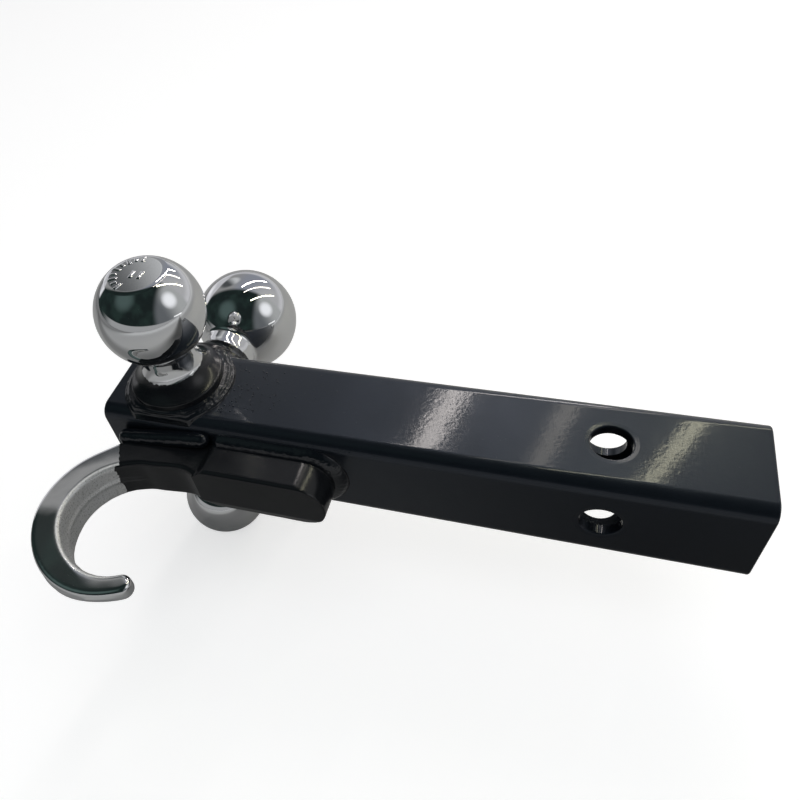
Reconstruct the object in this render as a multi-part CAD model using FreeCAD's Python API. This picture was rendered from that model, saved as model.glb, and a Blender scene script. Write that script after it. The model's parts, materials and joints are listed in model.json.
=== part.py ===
import FreeCAD, Part
import math
import os

# Triple-ball receiver hitch with a tow hook, welded from a square tube.
# Frame: millimetres. +X runs along the tube towards its open end, which goes into the
# receiver. +Z points to the 2 in ball, +Y to the 2-5/16 in ball, -Z to the 1-7/8 in ball,
# and the tow hook is on the -Y face. The origin is where the axes of the pin holes cross.

Vec = FreeCAD.Vector
X_AXIS = Vec(1, 0, 0)
Y_AXIS = Vec(0, 1, 0)
Z_AXIS = Vec(0, 0, 1)
INCH = 25.4

# ---- shank tube ----
TUBE_SIDE = 50.0
TUBE_WALL = 5.0
TUBE_CORNER_R = 6.9
TUBE_INNER_CORNER_R = 2.0
TUBE_OPEN_X = 2.5 * INCH           # open end, 2-1/2 in from the pin holes
TUBE_BALL_X = TUBE_OPEN_X - 12 * INCH
PIN_HOLE_R = 9.1                   # clears a 5/8 in hitch pin
PIN_HOLE_BREAK = 0.7               # broken outer edge of each pin hole
HALF = TUBE_SIDE / 2
INSIDE = TUBE_SIDE - 2 * TUBE_WALL

# ---- end plate, set into the ball end of the tube ----
PLATE_THICKNESS = 5.0
PLATE_RECESS = 2.6
PLATE_WELD_FOOT = 3.4              # width of the bead on the plate
PLATE_WELD_LIP = 0.8               # width of the bead at the tube's end

# ---- ball forgings ----
BALL_X = -208.0
FLANGE_R = 23.0
FLANGE_EDGE = 0.8
RIM_TOP = 7.0
FLARE_END = 20.5                   # height at which the flare becomes the plain neck
FLARE_BOW = (0.27, 0.44)           # middle of the flare, as shares of its width and height
NECK_FILLET = 3.0
FLAT_RISE = 0.85                   # how far a ball's flat top crowns at its middle
BALLS = {
    # node: ball diameter, height of its centre over the tube, neck radius, flat top radius
    "ball_2in": (2.0 * INCH, 47.0, 13.5, 13.3),
    "ball_2_5_16in": (2.3125 * INCH, 51.5, 15.0, 14.5),
    "ball_1_7_8in": (1.875 * INCH, 46.7, 13.2, 12.5),
}
BALL_TURN = {"ball_2in": 0, "ball_2_5_16in": -90, "ball_1_7_8in": 180}   # about +X

# ---- ring welds round the ball flanges ----
RING_WELD_R = 28.6
RING_WELD_TOP = 3.4
RING_WELD_TOE = 0.2                # height of the bead at its outer edge
RING_WELD_BOW = (26.4, 2.3)        # radius and height of the middle of its face
RING_WELD_INNER_R = 20.5
RING_WELD_DEPTH = 6.0              # how far it fills down beside the tube's corners
RING_WELD_SIDE = 24.7              # the bead stays inside the width of the tube
RING_WELD_SHOULDER = 5.5

# ---- tow hook: an arc-shaped forging whose mid plane is Z = 0 ----
HOOK_X = -212.0                    # centre of the throat
HOOK_Y = -71.0
HOOK_ROOT_ANGLE = 90               # angles are about the throat centre, from +X towards +Y
HOOK_TIP_ANGLE = 297
HOOK_SECTIONS = 24
HOOK_INNER_R = 26.8
HOOK_OUTER_R = 40.9
HOOK_HALF = 11.4                   # half thickness of the full section
ROOT_INNER_EXTRA = 0.8             # the section grows into the neck
ROOT_OUTER_EXTRA = 6.6
TIP_INNER_EXTRA = 1.9              # and gets slim towards the tip
TIP_OUTER_LESS = 2.4
TIP_HALF = 4.1
ROOT_INNER_BLEND = (86, 108)       # angles over which each of these changes takes place
ROOT_OUTER_BLEND = (86, 132)
TIP_INNER_BLEND = (190, 297)
TIP_OUTER_BLEND = (232, 292)
TIP_HALF_BLEND = (187, 280)
EDGE_R = 2.2
EDGE_SHARE = 0.7                   # the edge radius is never over this share of the half thickness
NECK_FRONT_Y = -42.6
NECK_STATIONS = (-201.0, -190.0, -178.0)
NECK_HALF = 11.5
NECK_SINK = 1.5                    # how far the neck is drawn into the tube before it is cut flat

# ---- pad of the tow hook, which is welded to the tube ----
PAD_START_X = -186.0
PAD_FULL_X = -179.5
PAD_NOSE_X = -134.4                # centre of the rounded end
PAD_HALF = 14.8
PAD_FRONT_Y = -45.0
PAD_TOP_EDGE = 1.2
PAD_BEVEL_Z = -9.0                 # start of the shallow bevel along the lower edge
PAD_BEVEL_SET = 1.6

# ---- welds of the tow hook ----
PAD_WELD_LEG_FACE = 4.6            # leg along the tube's face
PAD_WELD_LEG_PAD = 4.4             # leg along the pad's wall
NOSE_WELD_LEG = 5.9
BEAD_BULGE = 0.62                  # share of each leg at the middle of the bead's face
WELD_BACKING = 2.5                 # how far a bead reaches round the tube's corner
NECK_WELD_R = 4.2
NECK_WELD_FROM = (-229.0, -28.6, 10.9)
NECK_WELD_TO = (-187.0, -26.8, 15.6)


def wire_of(points):
    """Closed wire through the points."""
    return Part.makePolygon(list(points) + [points[0]])


def rounded_outline(origin, u_axis, v_axis, half_u, half_v, corner_r):
    """Wire of a rectangle with rounded corners, centred on origin."""
    edges = []
    for quarter, (sign_u, sign_v) in enumerate(((1, 1), (-1, 1), (-1, -1), (1, -1))):
        centre = origin + u_axis * (sign_u * (half_u - corner_r)) + v_axis * (sign_v * (half_v - corner_r))
        arc_points = []
        for step in (0, 45, 90):
            angle = math.radians(90 * quarter + step)
            offset = u_axis * math.cos(angle) + v_axis * math.sin(angle)
            arc_points.append(centre + offset * corner_r)
        if edges:
            edges.append(Part.makeLine(edges[-1].Vertexes[-1].Point, arc_points[0]))
        edges.append(Part.Arc(*arc_points).toShape())
    edges.append(Part.makeLine(edges[-1].Vertexes[-1].Point, edges[0].Vertexes[0].Point))
    return Part.Wire(edges)


def rounded_square(side, corner_r, x):
    """Wire of a square with rounded corners in the plane X = x."""
    return rounded_outline(Vec(x, 0, 0), Y_AXIS, Z_AXIS, side / 2, side / 2, corner_r)


def square_bar(side, corner_r, x_from, x_to):
    """Solid bar along X with a rounded square section."""
    face = Part.Face(rounded_square(side, corner_r, x_from))
    return face.extrude(Vec(x_to - x_from, 0, 0))


def pin_hole(axis):
    """Cutter for one through hole with both outer edges broken."""
    reach = HALF + 1
    cutter = Part.makeCylinder(PIN_HOLE_R, 2 * reach, axis * -reach, axis)
    for side in (1, -1):
        mouth = axis * (side * (HALF - PIN_HOLE_BREAK))
        cone = Part.makeCone(PIN_HOLE_R, PIN_HOLE_R + 2 * PIN_HOLE_BREAK,
                             2 * PIN_HOLE_BREAK, mouth, axis * side)
        cutter = cutter.fuse(cone)
    return cutter


def shank_tube():
    """Hollow square tube with a pin hole through each pair of walls."""
    outside = square_bar(TUBE_SIDE, TUBE_CORNER_R, TUBE_BALL_X, TUBE_OPEN_X)
    inside = square_bar(INSIDE, TUBE_INNER_CORNER_R, TUBE_BALL_X - 1, TUBE_OPEN_X + 1)
    return outside.cut([inside, pin_hole(Z_AXIS), pin_hole(Y_AXIS)])


def end_plate():
    """Flat plate that closes the ball end of the tube."""
    face_x = TUBE_BALL_X + PLATE_RECESS
    return square_bar(INSIDE, TUBE_INNER_CORNER_R, face_x, face_x + PLATE_THICKNESS)


def end_plate_weld():
    """Bead in the recess between the plate and the tube's inner walls."""
    face_x = TUBE_BALL_X + PLATE_RECESS
    block = square_bar(INSIDE, TUBE_INNER_CORNER_R, TUBE_BALL_X, face_x)
    foot = rounded_square(INSIDE - 2 * PLATE_WELD_FOOT, TUBE_INNER_CORNER_R, face_x)
    lip = rounded_square(INSIDE - 2 * PLATE_WELD_LIP, TUBE_INNER_CORNER_R, TUBE_BALL_X)
    return block.cut(Part.makeLoft([foot, lip], True, True))


def arc_edge(first, middle, last):
    """Arc through three points given as (radius, height)."""
    corners = [Vec(p[0], 0, p[1]) for p in (first, middle, last)]
    return Part.Arc(*corners).toShape()


def line_edge(first, last):
    """Straight edge between two points given as (radius, height)."""
    return Part.makeLine(Vec(first[0], 0, first[1]), Vec(last[0], 0, last[1]))


def point_on(centre, radius, toward, share=1.0):
    """Point at radius*share from centre in the direction of toward."""
    dx = toward[0] - centre[0]
    dz = toward[1] - centre[1]
    length = math.hypot(dx, dz)
    return (centre[0] + radius * share * dx / length, centre[1] + radius * share * dz / length)


def ball_forging(diameter, height, neck_r, flat_r):
    """Ball, neck and flange in one piece, standing on Z = 0 with its axis on Z."""
    ball_r = diameter / 2
    ball_c = (0.0, height)
    # concave fillet between the neck and the ball
    fillet_c = (neck_r + NECK_FILLET,
                height - math.sqrt((ball_r + NECK_FILLET) ** 2 - (neck_r + NECK_FILLET) ** 2))
    on_neck = (neck_r, fillet_c[1])
    on_ball = point_on(ball_c, ball_r, fillet_c)
    half_way = ((on_neck[0] + on_ball[0]) / 2, (on_neck[1] + on_ball[1]) / 2)
    fillet_mid = point_on(fillet_c, NECK_FILLET, half_way)
    # flare from the rim of the flange up to the neck
    rim = (FLANGE_R - FLANGE_EDGE, RIM_TOP)
    flare_end = (neck_r, FLARE_END)
    flare_mid = (neck_r + (rim[0] - neck_r) * FLARE_BOW[0],
                 RIM_TOP + (FLARE_END - RIM_TOP) * FLARE_BOW[1])
    flat = (flat_r, height + math.sqrt(ball_r ** 2 - flat_r ** 2))
    # the stamped flat is a shallow cap, which leaves room for its raised marks
    crown_top = (0.0, flat[1] + FLAT_RISE)
    cap_r = (flat_r ** 2 + FLAT_RISE ** 2) / (2 * FLAT_RISE)
    crown_mid = (flat_r / 2, crown_top[1] - cap_r + math.sqrt(cap_r ** 2 - flat_r ** 2 / 4))
    edges = [
        line_edge((0, 0), (FLANGE_R - FLANGE_EDGE, 0)),
        line_edge((FLANGE_R - FLANGE_EDGE, 0), (FLANGE_R, FLANGE_EDGE)),
        line_edge((FLANGE_R, FLANGE_EDGE), (FLANGE_R, RIM_TOP - FLANGE_EDGE)),
        line_edge((FLANGE_R, RIM_TOP - FLANGE_EDGE), rim),
        arc_edge(rim, flare_mid, flare_end),
        line_edge(flare_end, on_neck),
        arc_edge(on_neck, fillet_mid, on_ball),
        arc_edge(on_ball, (ball_r, height), flat),
        arc_edge(flat, crown_mid, crown_top),
        line_edge(crown_top, (0, 0)),
    ]
    return Part.Face(Part.Wire(edges)).revolve(Vec(0, 0, 0), Z_AXIS, 360)


def onto_face(shape, node):
    """Move a piece that stands on Z = 0 onto the tube face of that ball."""
    placed = shape.copy()
    placed.translate(Vec(BALL_X, 0, HALF))
    placed.rotate(Vec(0, 0, 0), X_AXIS, BALL_TURN[node])
    return placed


def flange_disc():
    """The straight rim of a ball's flange, with its lower edge broken."""
    broken = Part.makeCone(FLANGE_R - FLANGE_EDGE, FLANGE_R, FLANGE_EDGE)
    straight = Part.makeCylinder(FLANGE_R, RIM_TOP - FLANGE_EDGE, Vec(0, 0, FLANGE_EDGE))
    return broken.fuse(straight)


def corner_limit():
    """Space that a ring weld may fill: it stops half way round the tube's rounded corners."""
    over = RING_WELD_TOP + 1
    reach = HALF + over
    wedge = wire_of([Vec(-RING_WELD_R, 0, -HALF), Vec(-RING_WELD_R, reach, over),
                     Vec(-RING_WELD_R, -reach, over)])
    wedge = Part.Face(wedge).extrude(Vec(2 * RING_WELD_R, 0, 0))
    rounded = rounded_outline(Vec(-RING_WELD_R, 0, over - HALF), Y_AXIS, Z_AXIS,
                              RING_WELD_SIDE, HALF, RING_WELD_SHOULDER)
    rounded = Part.Face(rounded).extrude(Vec(2 * RING_WELD_R, 0, 0))
    return wedge.common(rounded)


def ring_weld(tube_bar):
    """Bead round a ball's flange, standing on Z = 0 and filled down onto the tube's corners."""
    outer_low = (RING_WELD_R, -RING_WELD_DEPTH)
    toe = (RING_WELD_R, RING_WELD_TOE)
    top = (FLANGE_R, RING_WELD_TOP)
    inner_top = (RING_WELD_INNER_R, RING_WELD_TOP)
    inner_low = (RING_WELD_INNER_R, -RING_WELD_DEPTH)
    profile = [
        line_edge(inner_low, outer_low),
        line_edge(outer_low, toe),
        arc_edge(toe, RING_WELD_BOW, top),
        line_edge(top, inner_top),
        line_edge(inner_top, inner_low),
    ]
    ring = Part.Face(Part.Wire(profile)).revolve(Vec(0, 0, 0), Z_AXIS, 360)
    local_tube = tube_bar.copy()
    local_tube.translate(Vec(-BALL_X, 0, -HALF))
    return ring.common(corner_limit()).cut([flange_disc(), local_tube])


def ease(angle, start, end):
    """Smooth step from 0 at the start angle to 1 at the end angle."""
    share = min(max((angle - start) / (end - start), 0), 1)
    return share * share * (3 - 2 * share)


def hook_size(angle):
    """Inner radius, outer radius and half thickness of the hook at that angle."""
    inner = HOOK_INNER_R + ROOT_INNER_EXTRA * (1 - ease(angle, *ROOT_INNER_BLEND))
    inner += TIP_INNER_EXTRA * ease(angle, *TIP_INNER_BLEND)
    outer = HOOK_OUTER_R + ROOT_OUTER_EXTRA * (1 - ease(angle, *ROOT_OUTER_BLEND))
    outer -= TIP_OUTER_LESS * ease(angle, *TIP_OUTER_BLEND)
    half = HOOK_HALF - (HOOK_HALF - TIP_HALF) * ease(angle, *TIP_HALF_BLEND)
    return inner, outer, half


def bar_section(origin, across, inner, outer, half):
    """Rounded section between two distances from the origin along the direction across."""
    corner = min(EDGE_R, EDGE_SHARE * half)
    middle = origin + across * ((inner + outer) / 2)
    return rounded_outline(middle, across, Z_AXIS, (outer - inner) / 2, half, corner)


def hook_bar():
    """Curved bar of the hook, with its neck running on into the pad."""
    centre = Vec(HOOK_X, HOOK_Y, 0)
    wires = []
    for x in reversed(NECK_STATIONS):
        wires.append(bar_section(Vec(x, 0, 0), Y_AXIS, NECK_FRONT_Y, -HALF + NECK_SINK, NECK_HALF))
    for index in range(HOOK_SECTIONS):
        angle = HOOK_ROOT_ANGLE + (HOOK_TIP_ANGLE - HOOK_ROOT_ANGLE) * index / (HOOK_SECTIONS - 1)
        turn = math.radians(angle)
        across = Vec(math.cos(turn), math.sin(turn), 0)
        wires.append(bar_section(centre, across, *hook_size(angle)))
    return Part.makeLoft(wires, True, False).fuse(hook_tip(centre))


def hook_tip(centre):
    """Rounded end of the hook: the last section turned about its own mid line."""
    inner, outer, half = hook_size(HOOK_TIP_ANGLE)
    turn = math.radians(HOOK_TIP_ANGLE)
    middle = (inner + outer) / 2
    reach = (outer - inner) / 2
    corner = min(EDGE_R, EDGE_SHARE * half)
    inset = corner * (1 - math.cos(math.pi / 4))
    edges = [
        line_edge((0, -half), (reach - corner, -half)),
        arc_edge((reach - corner, -half), (reach - inset, -half + inset), (reach, -half + corner)),
        line_edge((reach, -half + corner), (reach, half - corner)),
        arc_edge((reach, half - corner), (reach - inset, half - inset), (reach - corner, half)),
        line_edge((reach - corner, half), (0, half)),
        line_edge((0, half), (0, -half)),
    ]
    tip = Part.Face(Part.Wire(edges)).revolve(Vec(0, 0, 0), Z_AXIS, 360)
    tip.translate(centre + Vec(middle * math.cos(turn), middle * math.sin(turn), 0))
    return tip


def pad_outline():
    """Face of the pad seen along Y: a bar with a rounded nose and a tapered start."""
    nose = Vec(PAD_NOSE_X, 0, 0)
    points = [
        Vec(PAD_NOSE_X, 0, -PAD_HALF),
        Vec(PAD_FULL_X, 0, -PAD_HALF),
        Vec(PAD_START_X, 0, -NECK_HALF + EDGE_R),
        Vec(PAD_START_X, 0, NECK_HALF - EDGE_R),
        Vec(PAD_FULL_X, 0, PAD_HALF),
        Vec(PAD_NOSE_X, 0, PAD_HALF),
    ]
    edges = [Part.makeLine(a, b) for a, b in zip(points, points[1:])]
    edges.append(Part.Arc(points[-1], nose + X_AXIS * PAD_HALF, points[0]).toShape())
    return Part.Face(Part.Wire(edges))


def hook_pad():
    """Pad of the hook, with a broken upper edge and a shallow bevel along the lower one."""
    low = -PAD_HALF
    section = wire_of([
        Vec(HOOK_X, 0, PAD_HALF),
        Vec(HOOK_X, PAD_FRONT_Y + PAD_TOP_EDGE, PAD_HALF),
        Vec(HOOK_X, PAD_FRONT_Y, PAD_HALF - PAD_TOP_EDGE),
        Vec(HOOK_X, PAD_FRONT_Y, PAD_BEVEL_Z),
        Vec(HOOK_X, PAD_FRONT_Y + PAD_BEVEL_SET, low),
        Vec(HOOK_X, 0, low),
    ])
    bar = Part.Face(section).extrude(Vec(PAD_NOSE_X + PAD_HALF - HOOK_X, 0, 0))
    return pad_outline().extrude(Vec(0, PAD_FRONT_Y, 0)).common(bar)


def tow_hook():
    """Hook, neck and pad as one forging, cut flat where it lies on the tube."""
    length = TUBE_OPEN_X - TUBE_BALL_X
    behind_face = Part.makeBox(length, TUBE_SIDE, TUBE_SIDE, Vec(TUBE_BALL_X, -HALF, -HALF))
    forging = hook_bar().fuse(hook_pad()).cut(behind_face)
    return forging.removeSplitter()


def pad_weld(side, tube_bar, hook):
    """Fillet bead along the pad's upper (side 1) or lower (side -1) edge."""
    corner_z = PAD_HALF * side
    toe_z = (PAD_HALF + PAD_WELD_LEG_FACE) * side
    toe_y = -HALF - PAD_WELD_LEG_PAD
    middle = Vec(PAD_FULL_X, -HALF - PAD_WELD_LEG_PAD * BEAD_BULGE,
                 corner_z + side * PAD_WELD_LEG_FACE * BEAD_BULGE)
    start = Vec(PAD_FULL_X, toe_y, corner_z)
    finish = Vec(PAD_FULL_X, -HALF, toe_z)
    back_top = Vec(PAD_FULL_X, -HALF + WELD_BACKING, toe_z)
    back_low = Vec(PAD_FULL_X, -HALF + WELD_BACKING, corner_z)
    edges = [Part.Arc(start, middle, finish).toShape()]
    for a, b in ((finish, back_top), (back_top, back_low), (back_low, start)):
        edges.append(Part.makeLine(a, b))
    bead = Part.Face(Part.Wire(edges)).extrude(Vec(PAD_NOSE_X - PAD_FULL_X, 0, 0))
    return bead.cut([tube_bar, hook])


def nose_weld(tube_bar, hook):
    """Fillet bead round the pad's rounded nose, between the two straight beads."""
    foot = (PAD_HALF, -HALF - PAD_WELD_LEG_PAD)
    toe = (PAD_HALF + NOSE_WELD_LEG, -HALF)
    middle = (PAD_HALF + NOSE_WELD_LEG * BEAD_BULGE, -HALF - PAD_WELD_LEG_PAD * BEAD_BULGE)
    corners = [Vec(PAD_NOSE_X, y, radius) for radius, y in (foot, middle, toe)]
    back_out = Vec(PAD_NOSE_X, -HALF + WELD_BACKING, toe[0])
    back_in = Vec(PAD_NOSE_X, -HALF + WELD_BACKING, foot[0])
    edges = [Part.Arc(*corners).toShape()]
    for a, b in ((corners[2], back_out), (back_out, back_in), (back_in, corners[0])):
        edges.append(Part.makeLine(a, b))
    bead = Part.Face(Part.Wire(edges)).revolve(Vec(PAD_NOSE_X, 0, 0), Y_AXIS, 180)
    return bead.cut([tube_bar, hook])


def neck_weld(side, tube_bar, hook, pad_bead):
    """Long round-ended bead between the neck and the tube, above (1) or below (-1) it."""
    start, finish = (Vec(x, y, z * side) for x, y, z in (NECK_WELD_FROM, NECK_WELD_TO))
    run = finish - start
    bead = Part.makeCylinder(NECK_WELD_R, run.Length, start, run)
    for end in (start, finish):
        bead = bead.fuse(Part.makeSphere(NECK_WELD_R, end))
    return bead.cut([tube_bar, hook, pad_bead]).removeSplitter()


def largest_solid(shape):
    """The one solid that matters, without crumbs left by a cut."""
    return max(shape.Solids, key=lambda solid: solid.Volume)


def build():
    tube_bar = square_bar(TUBE_SIDE, TUBE_CORNER_R, TUBE_BALL_X, TUBE_OPEN_X)
    parts = {
        "shank_tube": shank_tube(),
        "end_plate": end_plate(),
        "end_plate_weld": end_plate_weld(),
    }
    ring = ring_weld(tube_bar)
    for node, sizes in BALLS.items():
        parts[node] = onto_face(ball_forging(*sizes), node)
        parts[node + "_weld"] = onto_face(ring, node)
    hook = tow_hook()
    parts["tow_hook"] = hook
    upper = pad_weld(1, tube_bar, hook)
    lower = pad_weld(-1, tube_bar, hook)
    parts["hook_pad_weld_upper"] = upper
    parts["hook_pad_weld_nose"] = nose_weld(tube_bar, hook)
    parts["hook_pad_weld_lower"] = lower
    parts["hook_neck_weld_upper"] = neck_weld(1, tube_bar, hook, upper)
    parts["hook_neck_weld_lower"] = neck_weld(-1, tube_bar, hook, lower)
    return parts


os.makedirs("parts", exist_ok=True)
for name, shape in build().items():
    solid = largest_solid(shape)
    solid.exportStep("parts/" + name + ".step")
    box = solid.BoundBox
    print("%-22s solids %d valid %s volume %9.1f  x %7.1f %7.1f  y %7.1f %7.1f  z %6.1f %6.1f" % (
        name, len(shape.Solids), solid.isValid(), solid.Volume,
        box.XMin, box.XMax, box.YMin, box.YMax, box.ZMin, box.ZMax))
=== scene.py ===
import json
import math

import bmesh
import bpy
import numpy as np
from mathutils import Matrix, Vector, noise


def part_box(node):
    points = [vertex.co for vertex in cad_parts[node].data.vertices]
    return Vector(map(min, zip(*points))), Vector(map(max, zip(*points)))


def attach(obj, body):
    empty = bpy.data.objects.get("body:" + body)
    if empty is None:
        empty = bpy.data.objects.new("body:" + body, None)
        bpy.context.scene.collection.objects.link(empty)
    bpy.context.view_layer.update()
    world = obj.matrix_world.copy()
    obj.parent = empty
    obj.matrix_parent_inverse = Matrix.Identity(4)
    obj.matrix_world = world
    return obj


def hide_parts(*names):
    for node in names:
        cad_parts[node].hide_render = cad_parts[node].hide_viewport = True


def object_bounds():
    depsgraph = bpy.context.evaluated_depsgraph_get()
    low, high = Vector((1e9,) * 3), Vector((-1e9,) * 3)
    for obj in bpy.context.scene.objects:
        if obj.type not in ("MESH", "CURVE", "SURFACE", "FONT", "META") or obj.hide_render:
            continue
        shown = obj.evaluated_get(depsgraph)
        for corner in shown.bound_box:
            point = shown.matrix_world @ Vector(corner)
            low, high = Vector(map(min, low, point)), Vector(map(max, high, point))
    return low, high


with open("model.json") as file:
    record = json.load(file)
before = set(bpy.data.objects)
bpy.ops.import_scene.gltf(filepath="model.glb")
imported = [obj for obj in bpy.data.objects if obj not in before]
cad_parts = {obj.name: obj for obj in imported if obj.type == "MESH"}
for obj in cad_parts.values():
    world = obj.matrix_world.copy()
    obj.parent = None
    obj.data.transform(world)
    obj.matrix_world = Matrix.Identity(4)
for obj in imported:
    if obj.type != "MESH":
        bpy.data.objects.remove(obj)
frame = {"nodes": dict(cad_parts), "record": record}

# Looks of the triple-ball receiver hitch, in the row's frame. Lengths are in millimetres in the
# shapes, which raw_mesh turns into metres, and in metres in the materials and the studio.
CAD_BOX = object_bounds()
MM = 0.001
INCH = 25.4

# shank tube
TUBE_LOW, TUBE_HIGH = (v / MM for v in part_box("shank_tube"))
HALF = TUBE_HIGH.z
WALL = 5.0
CORNER_R = 6.9
INNER_CORNER_R = 2.0
INSIDE = HALF - WALL
END_ROUND = 0.9                    # rounded, painted edge at both ends of the tube
INNER_ROUND_SHARE = 0.5            # round of the same ends' inner edge, as a share of the outer
PIN_R = 9.1
PIN_EDGE = 0.7
DISH_R = 11.8                      # shallow ring pressed round each pin hole
DISH_DEPTH = 0.16
CUTTER_FROM = 6.0                  # where the cutter of a pin hole starts, inside the hollow
CUTTER_PAST = 2.0                  # how far it reaches past the wall
CUTTER_TURNS = 96

# balls
MOUNTS = {m["name"]: Vector(m["pos_m"]) / MM for m in frame["record"]["mounts"]}
BALL_X = MOUNTS["ball_2in_seat"].x
BALL_TURNS = 224
FLANGE_R = 23.0
RIM_TOP = 7.0
RIM_ROUND = 0.9
FLARE_R = FLANGE_R - 0.8           # where the neck's flare meets the rounded rim
FLARE_END = 20.5
FLARE_BOW = (0.27, 0.44)           # a point of the flare, as shares of its width and height
NECK_FILLET = 3.0
FLAT_RINGS = 26
FLAT_SATIN = 0.15
FLAT_ROLL = ((1.2, 0.06), (0.1, -0.22))    # edge of the flat: inset from its radius, height
FLAT_ROLL_DEG = 2.6                # how far down the ball that rolled edge reaches
FLAT_RISE = 0.85                   # cap of a CAD ball over the rim of its flat
MARK_HEIGHT = 0.42                 # raised marks, which fit under that cap
FLAT_CROWN = FLAT_RISE - MARK_HEIGHT
MARK_RING = 0.76                   # radius of the arc of marks, as a share of the flat's
MARK_SINK = 0.4                    # how far a mark goes into the flat
ALL_PLATED = 9.0                   # distance over the paint line of a piece without paint
# node: diameter, neck radius, flat radius, height of the paint line, turn about +X in degrees
BALLS = {
    "ball_2in": (2.0 * INCH, 13.5, 13.3, 14.0, 0),
    "ball_2_5_16in": (2.3125 * INCH, 15.0, 14.5, 17.0, -90),
    "ball_1_7_8in": (1.875 * INCH, 13.2, 12.5, 14.0, 180),
}

# welds
BEAD_STEPS = 21                    # points over the face of a fillet bead
BEAD_BULGE = 0.1376                # bulge of that face, as a share of the bead's legs
BEAD_SINK = 1.3                    # how far a bead goes into the part below
BEAD_BACK = 1.4                    # and into the part beside it
RING_WELD_R = 28.6
RING_WELD_TOP = 3.4
RING_WELD_SIDE = 24.7              # a ring bead stays within this distance of the tube's middle
RING_MEAN_R = 26.0                 # radius at which the ripples of a ring bead are spaced
RING_STATIONS = 420
RING_PATCH = 0.75                  # half angle of a ring bead's rougher patch, in radians
PAD_START_X = -181.5
PAD_NOSE_X = -134.4
PAD_HALF = 14.8
PAD_STRAIGHT = PAD_NOSE_X - PAD_START_X
PAD_BEND = math.pi * PAD_HALF
PAD_LEG = 4.4                      # legs of the pad's fillet: up the pad, along the tube beside
FACE_LEG = 4.6                     # its straight sides, and along the tube round its nose
NOSE_LEG = 5.9
NECK_BEAD_FROM = Vector((-229.0, -28.6, 10.9))
NECK_BEAD_TO = Vector((-187.0, -26.8, 15.6))
NECK_BEAD_R = 4.2
NECK_BEAD_TURNS = 56
END_BEAD_DEPTH = 2.6               # how deep in the tube's end the end plate's bead starts
END_BEAD_LEGS = (3.4, 2.2)         # its legs along the plate and along the wall

# tow hook
THROAT = MOUNTS["hook_throat"]
HOOK_MID_R = 33.8                  # middle of the bar, from the throat's centre
HOOK_CROWN = 0.28                  # fall of the upper and lower faces from middle to edge
HOOK_PAINT_X = -230.8              # where the enamel of the neck ends at its back edge
HOOK_PAINT_SLOPE = -0.54
PARTING_Z = 1.3                    # half width of the parting line round the hook

# studio, in metres
FLOOR_SIZE = 30
FLOOR_GAP = 0.0006                 # between the floor and the lowest point of the object
BAR_AIM = Vector((-0.03, 0, HALF * MM))
# long bar lamps, three over the back and a weak low one at the right:
# start, finish, width, radiance, colour
BARS = (
    ((-0.548, 1.175, 1.984), (0.234, 3.270, 0.870), 0.070, 23, (1, 0.93, 0.89)),
    ((-0.199, 0.438, 1.325), (0.125, 0.780, 0.306), 0.028, 5, (1, 0.92, 0.80)),
    ((-0.034, 0.084, 0.449), (0.302, 0.651, 0.282), 0.013, 14, (1, 0.96, 0.70)),
    ((1.359, -0.321, 0.186), (1.392, 0.161, 0.057), 0.050, 1, (1, 1, 1)),
)
CAMERA_PLACE = Vector((-0.02433, -0.21087, 0.27633))
CAMERA_TURN_DEG = (43.01, -10.25, 24.09)   # tilt up from straight down, roll, turn about Z
CAMERA_LENS = 32.43
CAMERA_SHIFT_X = 0.0661


# ---------------------------------------------------------------- meshes

def raw_mesh(name, verts, faces):
    """Mesh from millimetre vertices."""
    mesh = bpy.data.meshes.new(name)
    mesh.from_pydata([tuple(float(c) * MM for c in v) for v in verts], [], [tuple(f) for f in faces])
    return mesh


def turn_outward(mesh):
    """Makes all faces of a closed mesh look outward."""
    bm = bmesh.new()
    bm.from_mesh(mesh)
    bmesh.ops.recalc_face_normals(bm, faces=bm.faces)
    bm.to_mesh(mesh)
    bm.free()


def store(mesh, key, values):
    """Keeps one number per vertex, for a material to read by its name."""
    attribute = mesh.attributes.new(key, "FLOAT", "POINT")
    attribute.data.foreach_set("value", np.asarray(values, np.float32))


def mesh_piece(name, verts, faces, nodes, smooth_deg, attributes=None):
    """Piece from millimetre vertices."""
    mesh = raw_mesh(name, verts, faces)
    for key, values in (attributes or {}).items():
        store(mesh, key, values)
    return as_piece(name, mesh, nodes, smooth_deg)


def as_piece(name, mesh, nodes, smooth_deg):
    """Makes a mesh a piece that rides on the body and stands for CAD nodes."""
    turn_outward(mesh)
    mesh.shade_smooth()
    mesh.set_sharp_from_angle(angle=math.radians(smooth_deg))
    piece = bpy.data.objects.new(name, mesh)
    bpy.context.scene.collection.objects.link(piece)
    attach(piece, "root")
    if nodes:
        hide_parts(*nodes)
    return piece


def grid_faces(rows, cols, close_rows=False, close_cols=True):
    """Quads of a grid of vertices, row by row."""
    faces = []
    for i in range(rows if close_rows else rows - 1):
        for j in range(cols if close_cols else cols - 1):
            a = i * cols + j
            b = i * cols + (j + 1) % cols
            c = ((i + 1) % rows) * cols + (j + 1) % cols
            d = ((i + 1) % rows) * cols + j
            faces.append((a, b, c, d))
    return faces


def grid_border(rows, cols):
    """Indices round the border of a grid of vertices."""
    border = [i * cols for i in range(rows)]
    border += [(rows - 1) * cols + j for j in range(1, cols)]
    border += [i * cols + cols - 1 for i in range(rows - 2, -1, -1)]
    border += [j for j in range(cols - 2, 0, -1)]
    return border


def end_caps(rows, cols):
    """Faces that close the first and the last row of a grid of vertices."""
    return [tuple(range(cols)), tuple(range((rows - 1) * cols, rows * cols))]


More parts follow.
